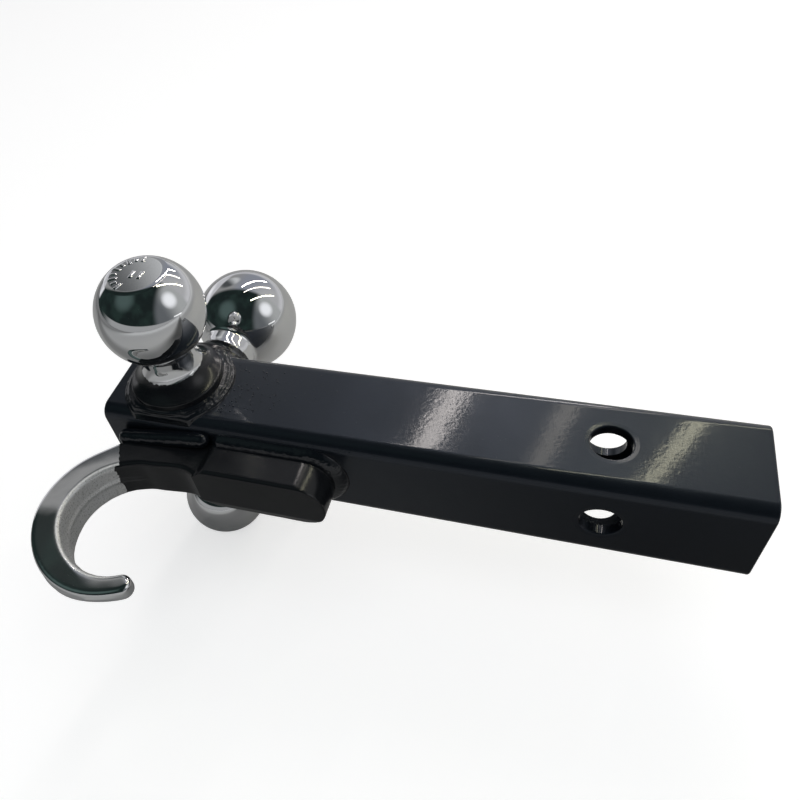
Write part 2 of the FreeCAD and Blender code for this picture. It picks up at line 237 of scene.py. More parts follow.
def arc_points(centre, radius, start_deg, end_deg, count):
    """Points of an arc in a plane, both ends included."""
    angles = np.radians(np.linspace(start_deg, end_deg, count))
    return [(centre[0] + radius * math.cos(a), centre[1] + radius * math.sin(a)) for a in angles]


def three_point_arc(first, middle, last, count):
    """Points of the circle through three points, from first to last by way of middle."""
    (ax, ay), (bx, by), (cx, cy) = first, middle, last
    d = 2 * (ax * (by - cy) + bx * (cy - ay) + cx * (ay - by))
    a2, b2, c2 = ax * ax + ay * ay, bx * bx + by * by, cx * cx + cy * cy
    ux = (a2 * (by - cy) + b2 * (cy - ay) + c2 * (ay - by)) / d
    uy = (a2 * (cx - bx) + b2 * (ax - cx) + c2 * (bx - ax)) / d
    start = math.degrees(math.atan2(ay - uy, ax - ux))
    end = math.degrees(math.atan2(cy - uy, cx - ux))
    end = start + (end - start + 180) % 360 - 180
    return arc_points((ux, uy), math.hypot(ax - ux, ay - uy), start, end, count)


def rounded_square_ring(half, corner_r, per_corner=14, per_side=10):
    """Points (y, z) round a square with rounded corners."""
    flat = half - corner_r
    corners = []
    for quarter, (sy, sz) in enumerate(((1, 1), (-1, 1), (-1, -1), (1, -1))):
        start = 90 * quarter
        corners.append(arc_points((sy * flat, sz * flat), corner_r, start, start + 90, per_corner))
    points = []
    for corner, following in zip(corners, corners[1:] + corners[:1]):
        points += corner
        last = corner[-1]
        goal = following[0]
        for k in range(1, per_side):
            t = k / per_side
            points.append((last[0] + (goal[0] - last[0]) * t, last[1] + (goal[1] - last[1]) * t))
    return points


def evaluated_mesh(piece, name):
    """The piece's mesh with its modifiers applied; the piece itself is removed."""
    dg = bpy.context.evaluated_depsgraph_get()
    mesh = bpy.data.meshes.new_from_object(piece.evaluated_get(dg))
    mesh.name = name
    bpy.data.objects.remove(piece)
    return mesh


def loose_object(name, verts, faces):
    """Helper object that isn't a piece and is removed again."""
    mesh = raw_mesh(name, verts, faces)
    turn_outward(mesh)
    thing = bpy.data.objects.new(name, mesh)
    bpy.context.scene.collection.objects.link(thing)
    return thing


def fractal(point, scale, octaves=3):
    """Smooth noise, about -1 to 1, at a place in millimetres."""
    return noise.fractal(Vector(point) / scale, 0.9, 2.0, octaves)


# ---------------------------------------------------------------- shank tube

def pin_cutter(along_z):
    """Lathe-turned cutter: a bore, a rounded edge and a shallow dish at each outer wall."""
    upper = [(PIN_R, CUTTER_FROM)]
    upper += arc_points((PIN_R + PIN_EDGE, HALF - DISH_DEPTH - PIN_EDGE), PIN_EDGE, 180, 95, 7)
    upper += [(DISH_R - 0.5, HALF - 0.04), (DISH_R, HALF + 0.05), (DISH_R, HALF + CUTTER_PAST)]
    profile = [(r, -z) for r, z in reversed(upper)] + upper
    verts = []
    for r, h in profile:
        for k in range(CUTTER_TURNS):
            a = 2 * math.pi * k / CUTTER_TURNS
            p = (r * math.cos(a), r * math.sin(a), h)
            verts.append(p if along_z else (p[0], p[2], p[1]))
    faces = grid_faces(len(profile), CUTTER_TURNS) + end_caps(len(profile), CUTTER_TURNS)
    return loose_object("pin_cutter", verts, faces)


def tube_shell():
    """Hollow square tube with soft ends, bored by modifiers that are then applied."""
    soft = [(END_ROUND * (1 - math.cos(a)), END_ROUND * (1 - math.sin(a)))
            for a in np.radians(np.linspace(0, 90, 6))]
    less = [(x * INNER_ROUND_SHARE, inset * INNER_ROUND_SHARE) for x, inset in soft]
    stations = [(TUBE_LOW.x + x, -inset, True) for x, inset in soft]
    stations += [(TUBE_HIGH.x - x, -inset, True) for x, inset in reversed(soft)]
    stations += [(TUBE_HIGH.x - x, inset, False) for x, inset in less]
    stations += [(TUBE_LOW.x + x, inset, False) for x, inset in reversed(less)]
    verts = []
    for x, grow, outer in stations:
        half, corner = (HALF, CORNER_R) if outer else (INSIDE, INNER_CORNER_R)
        verts += [(x, y, z) for y, z in rounded_square_ring(half + grow, corner + grow, per_side=1)]
    cols = len(verts) // len(stations)
    tube = loose_object("tube_blank", verts, grid_faces(len(stations), cols, close_rows=True))
    cutters = [pin_cutter(True), pin_cutter(False)]
    for index, cutter in enumerate(cutters):
        cut = tube.modifiers.new("bore_%d" % index, "BOOLEAN")
        cut.object = cutter
        cut.operation = "DIFFERENCE"
        cut.solver = "EXACT"
    mesh = evaluated_mesh(tube, "tube_shell")
    for cutter in cutters:
        bpy.data.objects.remove(cutter)
    piece = as_piece("tube_shell", mesh, ["shank_tube"], smooth_deg=35)
    flat = piece.modifiers.new("flat_walls", "WEIGHTED_NORMAL")
    flat.keep_sharp = True
    flat.weight = 100
    return piece


# ---------------------------------------------------------------- balls

def ball_heights(node):
    """Heights over the tube of a ball's centre and of the rim of its flat."""
    diameter, _, flat_r, _, turn_deg = BALLS[node]
    seat = MOUNTS[node + "_seat"]
    centre_h = (abs(seat.y) if turn_deg == -90 else abs(seat.z)) - HALF
    return centre_h, centre_h + math.sqrt((diameter / 2) ** 2 - flat_r ** 2)


def flat_height(r, flat_r, rim_h):
    """Height of the slightly crowned flat at a radius."""
    return rim_h + FLAT_CROWN * (1 - (r / flat_r) ** 2)


def ball_profile(node):
    """Dense outline (radius, height) of ball, neck and flange, from the flat down to the tube."""
    diameter, neck_r, flat_r, _, _ = BALLS[node]
    height, rim_h = ball_heights(node)
    ball_r = diameter / 2
    (first_in, first_h), (second_in, second_h) = FLAT_ROLL
    on_flat = np.linspace(0, flat_r - first_in - 0.1, FLAT_RINGS)
    points = [(r, flat_height(r, flat_r, rim_h)) for r in on_flat]
    start = math.degrees(math.asin((rim_h - height) / ball_r)) - FLAT_ROLL_DEG
    shoulder = (ball_r * math.cos(math.radians(start)), height + ball_r * math.sin(math.radians(start)))
    points += three_point_arc((flat_r - first_in, rim_h + first_h),
                              (flat_r - second_in, rim_h + second_h), shoulder, 10)
    # the ball, the fillet under it and the straight neck
    fillet_r = neck_r + NECK_FILLET
    fillet_h = height - math.sqrt((ball_r + NECK_FILLET) ** 2 - fillet_r ** 2)
    touch = math.degrees(math.atan2(fillet_h - height, fillet_r))
    points += arc_points((0, height), ball_r, start - 0.6, touch, 90)
    points += arc_points((fillet_r, fillet_h), NECK_FILLET, touch + 180 - 3, 180, 12)
    points += [(neck_r, h) for h in np.linspace(fillet_h - 0.4, FLARE_END + 0.4, 14)]
    # the flare, the rounded rim and the side of the flange
    flare_mid = (neck_r + (FLARE_R - neck_r) * FLARE_BOW[0],
                 RIM_TOP + (FLARE_END - RIM_TOP) * FLARE_BOW[1])
    points += three_point_arc((neck_r, FLARE_END), flare_mid, (FLARE_R, RIM_TOP), 34)
    points += arc_points((FLANGE_R - RIM_ROUND, RIM_TOP - RIM_ROUND), RIM_ROUND, 88, 0, 8)
    points += [(FLANGE_R, h) for h in np.linspace(RIM_TOP - 1.3, 0.8, 10)]
    points += [(FLARE_R, 0.0), (0.0, 0.0)]
    return points


def ball_matrix(turn_deg):
    """From a ball standing on Z = 0 to its place on the tube."""
    return Matrix.Rotation(math.radians(turn_deg), 4, "X") @ Matrix.Translation((BALL_X, 0, HALF))


def ball_piece(node):
    """Ball forging turned on a lathe, with the enamel's edge as a distance for the material."""
    paint_h, turn_deg = BALLS[node][3:]
    profile = ball_profile(node)
    place = ball_matrix(turn_deg)
    verts = []
    line = []
    satin = []
    for index, (r, h) in enumerate(profile[1:-1]):
        on_flat = FLAT_SATIN if index < FLAT_RINGS - 1 else 0.0
        for k in range(BALL_TURNS):
            a = 2 * math.pi * k / BALL_TURNS
            verts.append(place @ Vector((r * math.cos(a), r * math.sin(a), h)))
            line.append(h - paint_h - 0.35 * math.sin(a * 2 + 1.1))
            satin.append(on_flat)
    # the first and the last point lie on the axis and close the lathe-turned skin
    rings = len(profile) - 2
    faces = grid_faces(rings, BALL_TURNS)
    for ring, (_, h) in ((0, profile[0]), (rings - 1, profile[-1])):
        tip = len(verts)
        verts.append(place @ Vector((0, 0, h)))
        line.append(h - paint_h)
        satin.append(FLAT_SATIN if ring == 0 else 0.0)
        for k in range(BALL_TURNS):
            faces.append((ring * BALL_TURNS + k, ring * BALL_TURNS + (k + 1) % BALL_TURNS, tip))
    return mesh_piece(node + "_forging", verts, faces, [node], 50,
                      {"plate_line": line, "satin": satin})


def raised_mark(verts, faces, centre, along, across, length, width):
    """Adds one soft-edged raised bar on a flat to the lists."""
    base = len(verts)
    cols = 13
    rows = 7
    normal = along.cross(across).normalized()
    for i in range(rows):
        for j in range(cols):
            u = 2 * j / (cols - 1) - 1
            v = 2 * i / (rows - 1) - 1
            lift = MARK_HEIGHT * max(0.0, 1 - abs(u) ** 5) * max(0.0, 1 - abs(v) ** 3)
            verts.append(centre + along * (u * length / 2) + across * (v * width / 2) + normal * lift)
    faces += [tuple(base + n for n in f) for f in grid_faces(rows, cols, close_cols=False)]
    # closed underneath, inside the flat
    low = len(verts)
    border = grid_border(rows, cols)
    for n in border:
        verts.append(verts[base + n] - normal * MARK_SINK)
    count = len(border)
    for k in range(count):
        faces.append((base + border[k], base + border[(k + 1) % count], low + (k + 1) % count, low + k))
    faces.append(tuple(low + k for k in range(count)))


def ball_marks(node):
    """Plain raised ticks on a ball's flat: an arc of short bars and a pair in the middle."""
    _, _, flat_r, _, turn_deg = BALLS[node]
    rim_h = ball_heights(node)[1]
    verts = []
    faces = []
    ring_r = flat_r * MARK_RING
    for k in range(9):
        a = math.radians(96 + 19 * k)
        out = Vector((math.cos(a), math.sin(a), 0))
        side = Vector((-math.sin(a), math.cos(a), 0))
        centre = out * ring_r + Vector((0, 0, flat_height(ring_r, flat_r, rim_h)))
        tick = 4.6 if k % 2 == 0 else 3.2
        raised_mark(verts, faces, centre, out, side, tick, 2.0)
    for shift in (-2.1, 2.1):
        centre = Vector((shift + 1.0, -1.0, flat_height(0, flat_r, rim_h)))
        raised_mark(verts, faces, centre, Vector((0, 1, 0)), Vector((-1, 0, 0)), 5.4, 2.1)
    place = ball_matrix(turn_deg)
    verts = [place @ v for v in verts]
    return mesh_piece(node + "_flat_marks", verts, faces, [], 60,
                      {"plate_line": [ALL_PLATED] * len(verts)})


# ---------------------------------------------------------------- welds

def ripple(distance, bend, pitch, depth):
    """Height of the stacked ripples of a bead at a distance along it."""
    phase = (distance + bend) / pitch
    saw = phase - math.floor(phase)
    return depth * (math.sin(math.pi * saw) ** 0.7 - 0.6)


def swept_bead(name, stations, node, closed, lumps, ridges=0.0):
    """Bead through stations of (origin, out, up, leg_out, leg_up, drop, rough, distance).

    Its face bulges between the toe on the part below and the toe on the part beside it. Over it
    lie stacked ripples, lumps of two sizes, a fine grain and, where asked, ridges along it."""
    verts = []
    for origin, out, up, leg_out, leg_up, drop, rough, distance in stations:
        normal = (out * leg_up + up * leg_out).normalized()
        for k in range(BEAD_STEPS):
            t = k / (BEAD_STEPS - 1)
            bulge = BEAD_BULGE * math.sin(math.pi * t) ** 0.9
            place = origin + out * (leg_out * (t + bulge)) + up * (leg_up * (1 - t + bulge) - drop * t ** 3)
            bend = 1.5 * (2 * t - 1) ** 2
            lift = ripple(distance + 0.9 * fractal(place, 6.0), bend, 2.3, 0.10 * rough)
            lift += lumps * rough * (0.22 * fractal(place, 1.6) + 0.24 * fractal(place, 5.0))
            lift += 0.05 * rough * fractal(place, 0.8)
            lift += ridges * math.cos(5.2 * math.pi * t + 1.5 * fractal(place, 13.0))
            crest = math.sin(math.pi * t) ** 0.6
            verts.append(place + normal * (lift * crest))
        verts.append(origin + out * leg_out - up * (drop + BEAD_SINK))
        verts.append(origin - out * BEAD_BACK - up * (drop + BEAD_SINK))
        verts.append(origin - out * BEAD_BACK + up * (leg_up - 0.1))
    cols = BEAD_STEPS + 3
    faces = grid_faces(len(stations), cols, close_rows=closed)
    if not closed:
        faces += end_caps(len(stations), cols)
    return mesh_piece(name, verts, faces, [node], 60)


def corner_drop(y):
    """How far the tube's face has fallen away at a distance y from its middle."""
    over = abs(y) - (HALF - CORNER_R)
    if over <= 0:
        return 0.0
    return CORNER_R - math.sqrt(max(CORNER_R ** 2 - over ** 2, 0.0))


def ring_bead(node, roughness, patch):
    """Bead round a flange, with a rougher patch towards +X.

    Its toe follows the tube's rounded corners."""
    place = ball_matrix(BALLS[node][4])
    turn = place.to_3x3()
    stations = []
    for k in range(RING_STATIONS):
        a = 2 * math.pi * k / RING_STATIONS
        out = Vector((math.cos(a), math.sin(a), 0))
        wander = 0.5 * fractal((out.x * 30, out.y * 30, 7.0 + roughness), 9.0)
        toe = RING_WELD_R + wander
        if abs(out.y) > 0.05:
            toe = min(toe, (RING_WELD_SIDE - 0.3) / abs(out.y))
        near = min(a, 2 * math.pi - a)
        rough = roughness * (1 + patch * math.exp(-(near / RING_PATCH) ** 2))
        stations.append((place @ (out * FLANGE_R), turn @ out, turn @ Vector((0, 0, 1)), toe - FLANGE_R,
                         RING_WELD_TOP, corner_drop(toe * out.y), rough, a * RING_MEAN_R))
    return swept_bead(node + "_weld_bead", stations, node + "_weld", closed=True, lumps=1.0, ridges=0.28)


def pad_stations(start_s, end_s, count):
    """Stations of the pad's fillet between two distances along its outline."""
    total = 2 * PAD_STRAIGHT + PAD_BEND
    stations = []
    for k in range(count):
        s = start_s + (end_s - start_s) * k / (count - 1)
        on_nose = min(max((s - PAD_STRAIGHT) / PAD_BEND, 0), 1)
        a = math.pi / 2 - math.pi * on_nose
        if s < PAD_STRAIGHT:
            base = Vector((PAD_START_X + s, -HALF, PAD_HALF))
        elif s > PAD_STRAIGHT + PAD_BEND:
            base = Vector((PAD_START_X + total - s, -HALF, -PAD_HALF))
        else:
            base = Vector((PAD_NOSE_X + PAD_HALF * math.cos(a), -HALF, PAD_HALF * math.sin(a)))
        out = Vector((math.cos(a), 0, math.sin(a)))
        grow = math.sin(math.pi * on_nose) ** 0.5 if 0 < on_nose < 1 else 0.0
        leg = FACE_LEG + (NOSE_LEG - FACE_LEG) * grow
        # both ends of the outline run out to a low, narrow bead
        fade = min(1.0, (min(s, total - s) + 1.5) / 5.0)
        stations.append((base, out, Vector((0, -1, 0)), leg * fade, PAD_LEG * fade,
                         corner_drop(base.z + out.z * leg), 0.75, s))
    return stations


def pad_beads():
    """The three runs of the pad's fillet, which share their ripples."""
    nose_end = PAD_STRAIGHT + PAD_BEND
    runs = (("upper", 0.0, PAD_STRAIGHT, 110),
            ("nose", PAD_STRAIGHT, nose_end, 130),
            ("lower", nose_end, nose_end + PAD_STRAIGHT, 110))
    return [swept_bead("hook_pad_bead_" + side, pad_stations(start_s, end_s, count),
                       "hook_pad_weld_" + side, closed=False, lumps=0.6)
            for side, start_s, end_s, count in runs]


def neck_bead(side, sign):
    """Long round-ended bead beside the neck, on its upper (+1) or lower (-1) side."""
    mirror = Vector((1, 1, sign))
    start = NECK_BEAD_FROM * mirror
    finish = NECK_BEAD_TO * mirror
    axis = (finish - start).normalized()
    across = axis.cross(Vector((0, 1, 0))).normalized()
    third = axis.cross(across)
    length = (finish - start).length
    rings = arc_points((0, 0), NECK_BEAD_R, 178, 90, 14)
    rings += [(d, NECK_BEAD_R) for d in np.linspace(0, length, 120)[1:-1]]
    rings += arc_points((length, 0), NECK_BEAD_R, 90, 2, 14)
    verts = []
    for d, r in rings:
        for k in range(NECK_BEAD_TURNS):
            a = 2 * math.pi * k / NECK_BEAD_TURNS
            out = across * math.cos(a) + third * math.sin(a)
            place = start + axis * d + out * r
            swell = ripple(d, 2.0 * math.cos(a) ** 2, 2.1, 0.05) + 0.16 * fractal(place, 4.0)
            verts.append(place + out * swell * min(1.0, r / NECK_BEAD_R))
    faces = grid_faces(len(rings), NECK_BEAD_TURNS) + end_caps(len(rings), NECK_BEAD_TURNS)
    return mesh_piece("hook_neck_bead_" + side, verts, faces, ["hook_neck_weld_" + side], 60)


def end_plate_bead():
    """Rippled bead in the recess round the end plate."""
    ring = rounded_square_ring(INSIDE - 0.15, INNER_CORNER_R, 8, 46)
    stations = []
    travelled = 0.0
    last = None
    for y, z in ring:
        here = Vector((TUBE_LOW.x + END_BEAD_DEPTH, y, z))
        if last is not None:
            travelled += (here - last).length
        last = here
        inward = Vector((0, -y, -z))
        if abs(y) > abs(z) + 1.5:
            inward = Vector((0, -math.copysign(1, y), 0))
        elif abs(z) > abs(y) + 1.5:
            inward = Vector((0, 0, -math.copysign(1, z)))
        stations.append((here, inward.normalized(), Vector((-1, 0, 0)), *END_BEAD_LEGS,
                         0.0, 1.0, travelled))
    return swept_bead("end_plate_weld_bead", stations, "end_plate_weld", closed=True, lumps=0.9)


def end_plate_piece():
    """Sawn plate, its outer face set in a little and slightly wavy."""
    low, high = (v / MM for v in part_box("end_plate"))
    count = 33
    verts = []
    half = high.y
    for x, face in ((low.x, True), (high.x, False)):
        for i in range(count):
            for j in range(count):
                y = half * (2 * j / (count - 1) - 1)
                z = half * (2 * i / (count - 1) - 1)
                wave = 0.12 * fractal((x, y, z), 14.0) if face else 0.0
                verts.append((x + 0.15 + wave if face else x, y, z))
    per = count * count
    faces = grid_faces(count, count, close_cols=False)
    faces += [tuple(per + n for n in f) for f in grid_faces(count, count, close_cols=False)]
    border = grid_border(count, count)
    for a, b in zip(border, border[1:] + border[:1]):
        faces.append((a, b, per + b, per + a))
    return mesh_piece("end_plate_disc", verts, faces, ["end_plate"], 35)


# ---------------------------------------------------------------- tow hook

def hook_skin():
    """Even, softened skin over a copy of the CAD node's mesh."""
    blank = bpy.data.objects.new("hook_blank", frame["nodes"]["tow_hook"].data.copy())
    bpy.context.scene.collection.objects.link(blank)
    blank.data.materials.clear()
    weld = blank.modifiers.new("weld", "WELD")
    weld.merge_threshold = 0.00001
    shell = blank.modifiers.new("shell", "REMESH")
    shell.mode = "VOXEL"
    shell.voxel_size = 0.0005
    soften = blank.modifiers.new("soften", "SMOOTH")
    soften.factor = 0.5
    soften.iterations = 10
    return evaluated_mesh(blank, "tow_hook_forging")


def ramp(values, start, width):
    """0 up to start, 1 past start + width, straight between them."""
    return np.clip((values - start) / width, 0, 1)


def hook_forging():
    """The hook with a parting line, crowned faces and its masks for the material."""
    mesh = hook_skin()
    count = len(mesh.vertices)
    co = np.zeros(count * 3)
    mesh.vertices.foreach_get("co", co)
    co = co.reshape(-1, 3) / MM
    no = np.zeros(count * 3, np.float32)
    mesh.vertex_normals.foreach_get("vector", no)
    no = no.reshape(-1, 3)
    wobble = np.array([fractal(p, 11.0, 2) for p in co])
    pits = np.array([fractal(p, 2.6, 3) for p in co])
    # about the throat: radius and angle, and how much a point looks at the throat
    dx = co[:, 0] - THROAT.x
    dy = co[:, 1] - THROAT.y
    radius = np.hypot(dx, dy)
    angle = np.degrees(np.arctan2(dy, dx)) % 360
    look_in = -(no[:, 0] * dx + no[:, 1] * dy) / np.maximum(radius, 1)
    on_hook = ramp(angle, 92, 12) * ramp(-angle, -300, 18)
    inner = ramp(look_in, 0.55, 0.3) * on_hook
    outer = ramp(-look_in, 0.55, 0.3) * on_hook
    # masks: satin where the forging looks inward, and a painted highlight along the upper edge of that face
    satin = ramp(look_in, 0.08, 0.25) * on_hook
    edge_highlight = np.exp(-((look_in - 0.34) / 0.20) ** 2) * np.clip(no[:, 2] * 3, 0, 1) * on_hook
    # relief: parting line round the middle, pits inside, a crown over the broad faces
    flash = np.exp(-((co[:, 2] - 0.4 * wobble) / PARTING_Z) ** 2)
    lift = flash * (0.55 + 0.2 * wobble) * inner + flash * 0.35 * outer
    lift += 0.07 * pits * inner
    broad = np.clip((radius - HOOK_MID_R) / 8.0, -1.1, 1.1)
    lift -= HOOK_CROWN * broad ** 2 * np.abs(no[:, 2]) ** 2 * on_hook
    lift += 0.05 * wobble
    # none of it where the pad lies on the tube, and nothing past the CAD node's box
    off_tube = ramp(-co[:, 1], HALF + 0.4, 0.6)
    co = co + no * (lift * off_tube)[:, None]
    low, high = (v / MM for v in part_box("tow_hook"))
    co = np.clip(co, np.array(low), np.array(high))
    mesh.vertices.foreach_set("co", (co * MM).ravel())
    # the enamel ends along a slanting line on the upper face, with a step at the inner edge
    slant = HOOK_PAINT_SLOPE * np.clip(co[:, 1] + 34.0, -12, 4)
    step = -1.1 * (1 - np.tanh((co[:, 1] + 46.8) / 0.35))
    line = HOOK_PAINT_X + slant + step + 0.4 * wobble - co[:, 0]
    line = np.where(angle > 150, np.maximum(line, 6.0), line)
    store(mesh, "plate_line", line)
    store(mesh, "satin", satin)
    store(mesh, "painted_edge_highlight", edge_highlight)
    return as_piece("tow_hook_forging", mesh, ["tow_hook"], 180)


# ---------------------------------------------------------------- spatter

def spatter():
    """Painted-over droplets of weld metal near the beads."""
    random = np.random.default_rng(11)
    verts = []
    faces = []
    up = Vector((0, 0, 1))
    # thinning out from the 2 in ball's ring bead along the top of the tube
    for _ in range(120):
        distance = RING_WELD_R + 1.5 + random.exponential(16)
        y = random.uniform(-16, 17)
        x = BALL_X + math.sqrt(max(distance ** 2 - y * y, 1))
        size = random.uniform(0.18, 0.5) * (1 if distance < 55 else 0.7)
        add_drop(verts, faces, Vector((x, y, HALF)), up, size, random)
    # on the rounded edge over the hook's pad
    for _ in range(26):
        x = random.uniform(-178, -110)
        add_drop(verts, faces, Vector((x, -HALF + corner_drop(21), 21.0)), Vector((0, -0.8, 0.6)),
                 random.uniform(0.15, 0.4), random)
    # on the short stretch between the ring bead and the end of the tube
    for _ in range(40):
        x = TUBE_LOW.x + random.uniform(1.5, 9)
        y = random.uniform(-17, 17)
        add_drop(verts, faces, Vector((x, y, HALF)), up, random.uniform(0.15, 0.4), random)
    return mesh_piece("weld_spatter", verts, faces, [], 70)


def add_drop(verts, faces, place, up, size, random):
    """One low dome, sunk a little into the surface."""
    up = up.normalized()
    side = up.cross(Vector((1, 0, 0))).normalized()
    front = up.cross(side)
    base = len(verts)
    turns = 10
    levels = (-25, 10, 38, 64)
    stretch = random.uniform(0.8, 1.3)
    for angle in levels:
        r = size * math.cos(math.radians(angle))
        h = size * 0.62 * math.sin(math.radians(angle))
        for k in range(turns):
            a = 2 * math.pi * k / turns
            verts.append(place + side * (r * math.cos(a) * stretch) + front * (r * math.sin(a)) + up * h)
    dome = grid_faces(len(levels), turns) + end_caps(len(levels), turns)
    faces += [tuple(base + n for n in f) for f in dome]


# ---------------------------------------------------------------- materials

class Graph:
    """Short way to write a node material."""

    def __init__(self, name):
        self.material = bpy.data.materials.new(name)
        self.material.use_nodes = True
        self.tree = self.material.node_tree
        self.shader = self.tree.nodes["Principled BSDF"]
        self.place = self.node("ShaderNodeTexCoord").outputs["Object"]

    def node(self, kind, **settings):
        """Adds a node and sets its properties."""
        made = self.tree.nodes.new(kind)
        for key, value in settings.items():
            setattr(made, key, value)
        return made

    def put(self, socket, value):
        """Links a socket to another one, or sets its constant."""
        if isinstance(value, bpy.types.NodeSocket):
            self.tree.links.new(value, socket)
        else:
            socket.default_value = value

    def noise(self, scale, detail=3.0, roughness=0.55):
        """Noise over the object, scale in cycles per metre."""
        made = self.node("ShaderNodeTexNoise")
        self.put(made.inputs["Vector"], self.place)
        self.put(made.inputs["Scale"], scale)
        self.put(made.inputs["Detail"], detail)
        self.put(made.inputs["Roughness"], roughness)
        return made.outputs["Fac"]

    def cells(self, scale):
        """Distance to the nearest of many scattered points."""
        made = self.node("ShaderNodeTexVoronoi")
        self.put(made.inputs["Vector"], self.place)
        self.put(made.inputs["Scale"], scale)
        return made.outputs["Distance"]

    def span(self, value, low, high, to_low, to_high):
        """Smooth step from one span of values to another."""
        made = self.node("ShaderNodeMapRange", interpolation_type="SMOOTHSTEP")
        for key, number in zip(("Value", "From Min", "From Max", "To Min", "To Max"),
                               (value, low, high, to_low, to_high)):
            self.put(made.inputs[key], number)
        return made.outputs["Result"]

    def maths(self, operation, first, second):
        """Sum, difference or product of two numbers."""
        made = self.node("ShaderNodeMath", operation=operation)
        self.put(made.inputs[0], first)
        self.put(made.inputs[1], second)
        return made.outputs[0]

    def mix(self, share, first, second):
        """Mix of two colours."""
        made = self.node("ShaderNodeMix", data_type="RGBA")
        self.put(made.inputs["Factor"], share)
        self.put(made.inputs[6], first)
        self.put(made.inputs[7], second)
        return made.outputs[2]

    def blend(self, share, first, second):
        """Mix of two numbers."""
        made = self.node("ShaderNodeMix", data_type="FLOAT")
        self.put(made.inputs["Factor"], share)
        self.put(made.inputs[2], first)
        self.put(made.inputs[3], second)
        return made.outputs[0]

    def attribute(self, name):
        """Number stored on the vertices by store."""
        return self.node("ShaderNodeAttribute", attribute_name=name).outputs["Fac"]

    def edges(self):
        """How convex the surface is: 0.5 where it is flat."""
        return self.node("ShaderNodeNewGeometry").outputs["Pointiness"]

    def bump(self, height, strength, distance, under=None):
        """Bump, laid over another one where that is given."""
        made = self.node("ShaderNodeBump")
        self.put(made.inputs["Height"], height)
        self.put(made.inputs["Strength"], strength)
        self.put(made.inputs["Distance"], distance)
        if under is not None:
            self.put(made.inputs["Normal"], under)
        return made.outputs["Normal"]


def enamel(name, peel, coarse, gloss, haze_ior, skin_ior):
    """Gloss black enamel: hazy pigment under a clear skin with orange peel, dust, worn edges.

    peel and coarse are strengths of bump, gloss is the roughness of the clear skin, and the two
    refractive indices set how strongly the pigment and the skin reflect."""
    g = Graph(name)
    patchy = g.noise(28.0, 4.0)
    dust = g.span(g.cells(420.0), 0.05, 0.13, 1.0, 0.0)
    dust = g.maths("MULTIPLY", dust, g.span(g.noise(90.0), 0.56, 0.66, 0.0, 1.0))
    worn = g.span(g.edges(), 0.53, 0.60, 0.0, 0.35)
    colour = g.mix(patchy, (0.0030, 0.0040, 0.0060, 1), (0.0050, 0.0064, 0.0092, 1))
    colour = g.mix(worn, colour, (0.022, 0.024, 0.027, 1))
    colour = g.mix(g.maths("MULTIPLY", dust, 0.5), colour, (0.06, 0.062, 0.07, 1))
    rough = g.span(patchy, 0.3, 0.7, 0.36, 0.46)
    rough = g.blend(g.maths("MULTIPLY", dust, 0.5), rough, 0.5)
    peel_normal = g.bump(g.noise(620.0, 2.0), peel, 0.00009)
    wave_normal = g.bump(g.noise(150.0, 2.0), peel * 0.5, 0.00025, peel_normal)
    normal = g.bump(g.noise(900.0, 5.0, 0.7), coarse, 0.0003, wave_normal)
    g.put(g.shader.inputs["Base Color"], colour)
    g.put(g.shader.inputs["Roughness"], rough)
    g.put(g.shader.inputs["Normal"], normal)
    g.put(g.shader.inputs["IOR"], haze_ior)
    # the pigment's reflections are tinted blue: a painted blue cast of reflected sky
    g.put(g.shader.inputs["Specular Tint"], (0.62, 0.76, 1.0, 1))
    g.put(g.shader.inputs["Coat Weight"], 1.0)
    g.put(g.shader.inputs["Coat IOR"], skin_ior)
    g.put(g.shader.inputs["Coat Roughness"], gloss)
    g.put(g.shader.inputs["Coat Normal"], normal)
    return g.material


